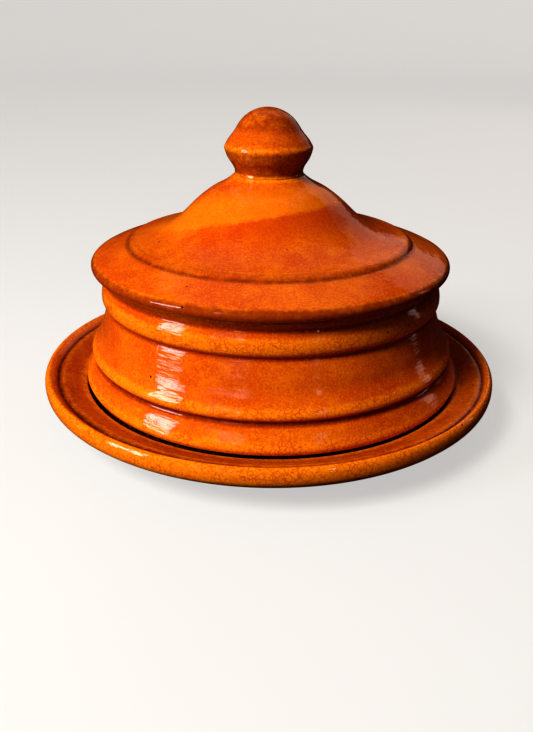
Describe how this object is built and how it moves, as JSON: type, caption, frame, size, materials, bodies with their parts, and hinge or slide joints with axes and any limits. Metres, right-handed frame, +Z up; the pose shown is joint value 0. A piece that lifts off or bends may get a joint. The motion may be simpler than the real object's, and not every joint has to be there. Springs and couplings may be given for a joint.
{
  "type": "butter crock",
  "caption": "Round ribbed glazed earthenware butter crock with a domed, knobbed lift-off lid, standing in the well of its rolled-rim saucer.",
  "frame": {"origin": "centre of the saucer's foot ring, on the table plane", "axes": "+Z up along the axis the pots were turned on; X and Y are alike because every piece is round"},
  "size_m": [0.18, 0.18, 0.1163],
  "materials": {
    "amber_glaze": "gloss"
  },
  "bodies": {
    "saucer": {"saucer": "amber_glaze"},
    "crock": {"crock": "amber_glaze"},
    "lid": {"lid": "amber_glaze", "lid_knob": "amber_glaze"}
  },
  "joints": [
    {"name": "crock_lift", "type": "slide", "parent": "saucer", "child": "crock", "axis": [0, 0, 1], "range_m": [0, 0.06]},
    {"name": "lid_lift", "type": "slide", "parent": "crock", "child": "lid", "axis": [0, 0, 1], "range_m": [0, 0.08]}
  ]
}
